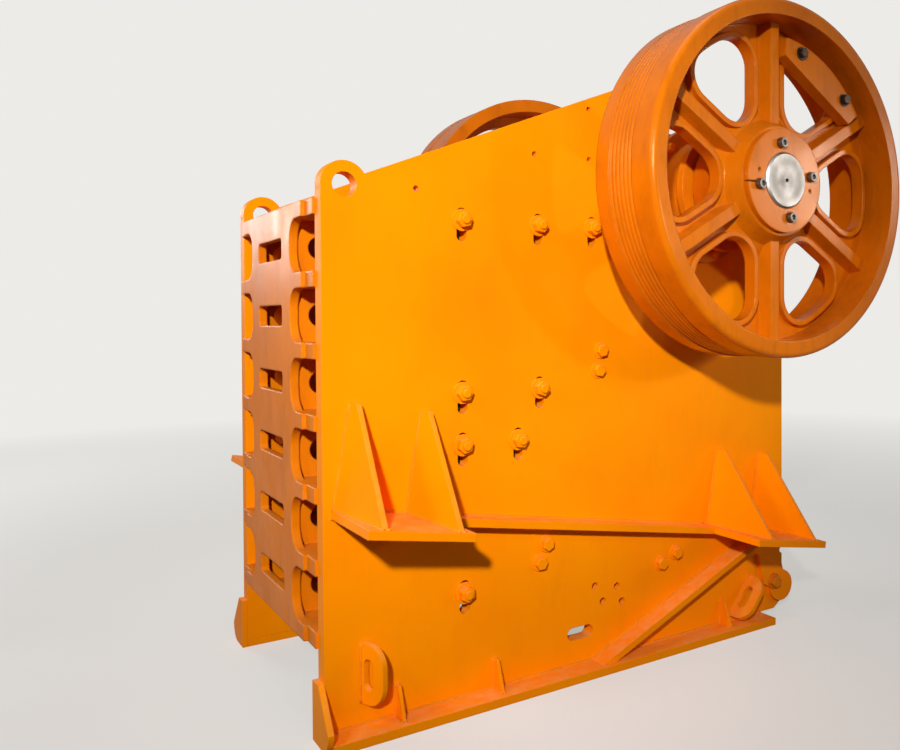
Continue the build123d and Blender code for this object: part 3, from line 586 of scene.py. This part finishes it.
def weldLines():
    # every bead as its two ends and its radius, for one side
    look = weldPlan
    lines = []
    lean = radians(look["bracketSlope"])
    for start, end, depth in look["brackets"]:
        for below in (0, depth):
            shift = (-below * sin(lean), -below * cos(lean))
            lines.append((
                (start + shift[0], 0, slopeZ(start) + shift[1]),
                (end + shift[0], 0, slopeZ(end) + shift[1]), look["beadRadius"],
            ))
    for x, turn, height in look["gussets"]:
        skew = radians(turn)
        for side in (0, look["gussetThick"] / cos(skew)):
            foot = (x + side, 0, slopeZ(x + side))
            up = height - look["gussetTip"]
            tip = (foot[0] + up * sin(lean), 0, foot[2] + up * cos(lean))
            back = foot[0] + look["gussetFoot"] * tan(skew)
            lines.append((foot, tip, look["thinRadius"]))
            lines.append((foot, (back, look["gussetFoot"], slopeZ(back)), look["thinRadius"]))
    top = look["flangeTop"]
    lines.append(((look["flangeStart"], 0, top), (look["flangeEnd"], 0, top), look["beadRadius"]))
    for x in look["smallGussets"]:
        for side in (0, look["smallThick"]):
            for reach, rise in ((0, look["smallHeight"]), (look["smallFoot"], 0)):
                tip = (x + side, reach, top + rise)
                lines.append(((x + side, 0, top), tip, look["thinRadius"]))
    rise = tan(radians(look["ribSlope"]))
    thick = look["ribThick"] / cos(radians(look["ribSlope"]))
    for lift in (0, thick):
        start = look["ribFoot"] - lift / rise
        end = look["ribTop"] - lift * look["ribEndCut"]
        tip = (end, 0, top + (end - start) * rise)
        lines.append(((start, 0, top), tip, look["beadRadius"]))
    for x, height, length, turn, thick in look["lugs"]:
        along = (length / 2 * cos(radians(turn)), length / 2 * sin(radians(turn)))
        for side in (0, thick):
            middle = (x + side * sin(radians(turn)), height - side * cos(radians(turn)))
            lines.append((
                (middle[0] - along[0], 0, middle[1] - along[1]),
                (middle[0] + along[0], 0, middle[1] + along[1]), look["thinRadius"],
            ))
    return lines


def layBead(start, end, radius, left, seed):
    # a thin rod along the joint, divided and shaken a little, as a hand-laid bead is uneven
    side = 1 if left else -1
    first, last = [
        Vector((alongPlate(x), side * (plan["plateFaceY"] + reach / mmPerMetre), z / mmPerMetre))
        for x, reach, z in (start, end)
    ]
    run = last - first
    startFresh()
    bpy.ops.mesh.primitive_cylinder_add(
        vertices=weldPlan["beadSides"], radius=radius / mmPerMetre, depth=run.length,
        location=(first + last) / 2,
        rotation=run.to_track_quat("Z", "Y").to_euler(), end_fill_type="TRIFAN",
    )
    bead = bpy.context.object
    bpy.ops.object.mode_set(mode="EDIT")
    bpy.ops.mesh.select_mode(type="EDGE")
    bpy.ops.mesh.select_all(action="DESELECT")
    bpy.ops.object.mode_set(mode="OBJECT")
    for edge in bead.data.edges:
        foot, tip = [bead.data.vertices[i].co.z for i in edge.vertices]
        edge.select = abs(foot - tip) > run.length / 2
    bpy.ops.object.mode_set(mode="EDIT")
    steps = max(weldPlan["fewestSteps"], int(run.length * mmPerMetre / weldPlan["stepMm"]))
    bpy.ops.mesh.subdivide(number_cuts=steps)
    bpy.ops.mesh.select_all(action="SELECT")
    wobble = weldPlan["wobbleMm"] / mmPerMetre
    bpy.ops.transform.vertex_random(offset=wobble, seed=seed, wait_for_input=False)
    bpy.ops.object.mode_set(mode="OBJECT")
    bpy.ops.object.shade_smooth()
    settle(bead)
    return bead


for left in (False, True):
    beads = [
        layBead(*line, left, weldPlan["firstSeed"] + number)
        for number, line in enumerate(weldLines())
    ]
    seam = joinPieces(beads, "weld_beads" + ("_left" if left else "_right"))
    dress(seam, "frame", paints["weld"])
print("welds laid")

# Coil spring on the retraction rod, lengths in mm
coilSpring = {
    "wireRadius": 9, "coilRadius": 48, "turns": 6, "length": 150,
    "stepsPerTurn": 32, "wireSides": 12, "weldGap": 0.01,
}


def windSpring(look):
    # a circle of the wire's size, swept round the rod's axis
    wire = look["wireRadius"] * mm
    startFresh()
    bpy.ops.mesh.primitive_circle_add(
        vertices=look["wireSides"], radius=wire, fill_type="NGON",
        location=(plan["springX"] + wire, 0, plan["rodZ"] + look["coilRadius"] * mm),
        rotation=(pi / 2, 0, 0),
    )
    coil = bpy.context.object
    bpy.context.scene.cursor.location = (plan["springX"], 0, plan["rodZ"])
    bpy.ops.object.origin_set(type="ORIGIN_CURSOR")
    bpy.ops.object.transform_apply(location=False, rotation=True, scale=True)
    screw = coil.modifiers.new("Screw", "SCREW")
    screw.axis = "X"
    screw.angle = 2 * pi
    screw.iterations = look["turns"]
    screw.steps = look["stepsPerTurn"]
    screw.render_steps = look["stepsPerTurn"]
    screw.screw_offset = (look["length"] * mm - 2 * wire) / look["turns"]
    bpy.ops.object.modifier_apply(modifier=screw.name)
    bpy.ops.object.mode_set(mode="EDIT")
    bpy.ops.mesh.select_all(action="SELECT")
    bpy.ops.mesh.remove_doubles(threshold=look["weldGap"] * mm)
    bpy.ops.mesh.normals_make_consistent(inside=False)
    bpy.ops.object.mode_set(mode="OBJECT")
    bpy.ops.object.shade_smooth()
    coil.name = "retraction_coil"
    settle(coil)
    return coil


coil = windSpring(coilSpring)
dress(coil, "frame", paints["zinc"])
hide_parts("retraction_spring")
print("spring wound")


# A pale studio: lengths in metres, powers in watts
studio = {
    "worldColour": "EDEBE7", "worldLight": 0.13,
    "floorSize": 160, "floorColour": "E9E6E1", "floorBounce": "504B47",
    "floorCloudMm": 900, "floorRoughness": (0.55, 0.70),
    "floorGlow": 0.55, "fadeStart": 3.5, "fadeEnd": 11.0,   # from the machine's middle
    "mirrored": 0.35,                                       # how bright metal and gloss see them
    "spots": {
        "key_spot": {"power": 2150, "size": 0.16, "angle": 43, "soft": 1.0,
                     "place": (-4.1, -5.7, 3.6), "target": (-0.72, -0.6, 1.8)},
        "rear_spot": {"power": 300, "size": 0.20, "angle": 32, "soft": 1.0,
                      "place": (3.3, -6.8, 2.6), "target": (0.95, -0.7, 1.95)},
    },
    "lamps": {
        "side_lamp": {"power": 62, "size": 1.2,
                      "place": (-4.6, -1.3, 3.9), "target": (-1.0, 0.0, 2.0)},
        "top_lamp": {"power": 95, "size": 5.0,
                     "place": (-0.5, -0.8, 8.0), "target": (0.0, 0.0, 1.5)},
        "gleam_lamp": {"power": 80, "size": 1.2,
                       "place": (7.2, -6.5, 3.5), "target": (0.6, -1.0, 2.2)},
        "rear_lamp": {"power": 165, "size": 2.6,
                      "place": (-3.4, 7.8, 3.6), "target": (0.0, 0.0, 1.8)},
    },
}


def seenDirectly(tree):
    # 1 for what the camera sees straight, less for what metal and gloss mirror, 0 for the rest
    path = addNode(tree, "ShaderNodeLightPath")
    shown = path.outputs["Is Camera Ray"]
    dimming = {"operation": "MULTIPLY", 1: studio["mirrored"]}
    for name in ("Is Glossy Ray", "Is Transmission Ray"):
        dimmed = addNode(tree, "ShaderNodeMath", dimming, {0: path.outputs[name]})
        either = {0: shown, 1: dimmed.outputs["Value"]}
        larger = addNode(tree, "ShaderNodeMath", {"operation": "MAXIMUM"}, either)
        shown = larger.outputs["Value"]
    return shown


def paleFloor():
    # part of the floor's look is its own pale colour, all of it far away, so no horizon shows
    material, tree = newMaterial("pale_studio_floor")
    place = addNode(tree, "ShaderNodeTexCoord").outputs["Object"]
    shown = seenDirectly(tree)
    tones = {
        "Color1": hexColour(studio["floorBounce"]), "Color2": hexColour(studio["floorColour"]),
    }
    shader = addNode(tree, "ShaderNodeBsdfPrincipled", links={
        "Base Color": addNode(tree, "ShaderNodeMixRGB", tones, {"Fac": shown}).outputs["Color"],
        "Roughness": patches(
            tree, place, "sheen", studio["floorCloudMm"], *studio["floorRoughness"],
        ),
    })
    sky = {"Color": hexColour(studio["worldColour"]), "Strength": 1.0}
    glow = addNode(tree, "ShaderNodeEmission", sky)
    distance = addNode(tree, "ShaderNodeVectorMath", {"operation": "LENGTH"}, {0: place})
    fade = {
        "From Min": studio["fadeStart"], "From Max": studio["fadeEnd"],
        "To Min": studio["floorGlow"], "To Max": 1.0,
    }
    share = addNode(tree, "ShaderNodeMapRange", fade, {"Value": distance.outputs["Value"]})
    both = {0: shown, 1: share.outputs["Result"]}
    amount = addNode(tree, "ShaderNodeMath", {"operation": "MULTIPLY"}, both)
    mix = addNode(tree, "ShaderNodeMixShader", links={
        "Fac": amount.outputs["Value"], 1: shader.outputs["BSDF"], 2: glow.outputs["Emission"],
    })
    addNode(tree, "ShaderNodeOutputMaterial", links={"Surface": mix.outputs["Shader"]})
    startFresh()
    bpy.ops.mesh.primitive_plane_add(size=studio["floorSize"], location=(0, 0, 0))
    floor = bpy.context.object
    floor.name = "studio_floor"
    floor.data.materials.append(material)


def aimLamp(name, kind, look):
    startFresh()
    bpy.ops.object.light_add(type=kind, location=look["place"])
    lamp = bpy.context.object
    lamp.name = name
    lamp.data.energy = look["power"]
    lamp.visible_camera = False
    aim = Vector(look["target"]) - Vector(look["place"])
    lamp.rotation_euler = aim.to_track_quat("-Z", "Y").to_euler()
    return lamp


def softLamp(name, look):
    lamp = aimLamp(name, "AREA", look)
    lamp.data.shape = "DISK"
    lamp.data.size = look["size"]


def spotLamp(name, look):
    # its cone fades softly, so that one half of the side plate is brighter, as in the photograph
    lamp = aimLamp(name, "SPOT", look)
    lamp.data.shadow_soft_size = look["size"]
    lamp.data.spot_size = radians(look["angle"])
    lamp.data.spot_blend = look["soft"]


def paleWorld():
    world = bpy.data.worlds.new("pale_studio")
    bpy.context.scene.world = world
    world.use_nodes = True
    tree = world.node_tree
    tree.nodes.clear()
    colour = hexColour(studio["worldColour"])
    dim = {"Color": colour, "Strength": studio["worldLight"]}
    light = addNode(tree, "ShaderNodeBackground", dim)
    seen = addNode(tree, "ShaderNodeBackground", {"Color": colour, "Strength": 1.0})
    mix = addNode(tree, "ShaderNodeMixShader", links={
        "Fac": seenDirectly(tree),
        1: light.outputs["Background"], 2: seen.outputs["Background"],
    })
    addNode(tree, "ShaderNodeOutputWorld", links={"Surface": mix.outputs["Shader"]})


paleFloor()
paleWorld()
for name, look in studio["spots"].items():
    spotLamp(name, look)
for name, look in studio["lamps"].items():
    softLamp(name, look)

# The photograph's own view: turned 35.5 degrees to the right, almost level, cut off-centre
photoView = {
    "place": (-2.334, -3.869, 1.608), "turn": 35.486, "down": 0.869, "roll": 0.196,
    "lens": 34.20, "sensor": 36.0, "shift": (-0.1695, -0.0471),
}
startFresh()
bpy.ops.object.camera_add(location=photoView["place"])
camera = bpy.context.object
camera.name = "photo_camera"
turn = Matrix.Rotation(-radians(photoView["turn"]), 3, "Z")
tilt = Matrix.Rotation(pi / 2 - radians(photoView["down"]), 3, "X")
roll = Matrix.Rotation(-radians(photoView["roll"]), 3, "Z")
camera.rotation_euler = (turn @ tilt @ roll).to_euler()
camera.data.lens = photoView["lens"]
camera.data.sensor_width = photoView["sensor"]
camera.data.shift_x, camera.data.shift_y = photoView["shift"]
bpy.context.scene.camera = camera
bpy.context.scene.view_settings.view_transform = "Standard"
print("floor, light and camera set")
